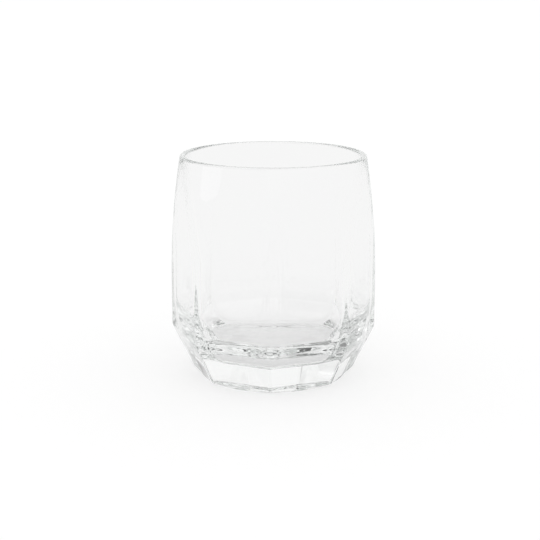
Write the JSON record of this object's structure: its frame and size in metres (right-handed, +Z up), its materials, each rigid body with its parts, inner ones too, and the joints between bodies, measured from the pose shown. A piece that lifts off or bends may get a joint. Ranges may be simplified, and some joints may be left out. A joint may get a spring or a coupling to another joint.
{
  "type": "cortado glass",
  "caption": "Clear mould-blown cortado glass: a round barrel with arched flat panels, sloping facets below them, a heavy base, a faceted foot and a round lip, to drink from.",
  "frame": {"origin": "middle of the foot, on the surface that the glass stands on", "axes": "+Z up along the axis of the glass, a corner of the foot towards -Y and another towards +X"},
  "size_m": [0.0748, 0.0748, 0.08],
  "materials": {
    "soda_lime_glass": "fire-polished, clear"
  },
  "bodies": {
    "root": {"tumbler": "soda_lime_glass"}
  },
  "joints": []
}
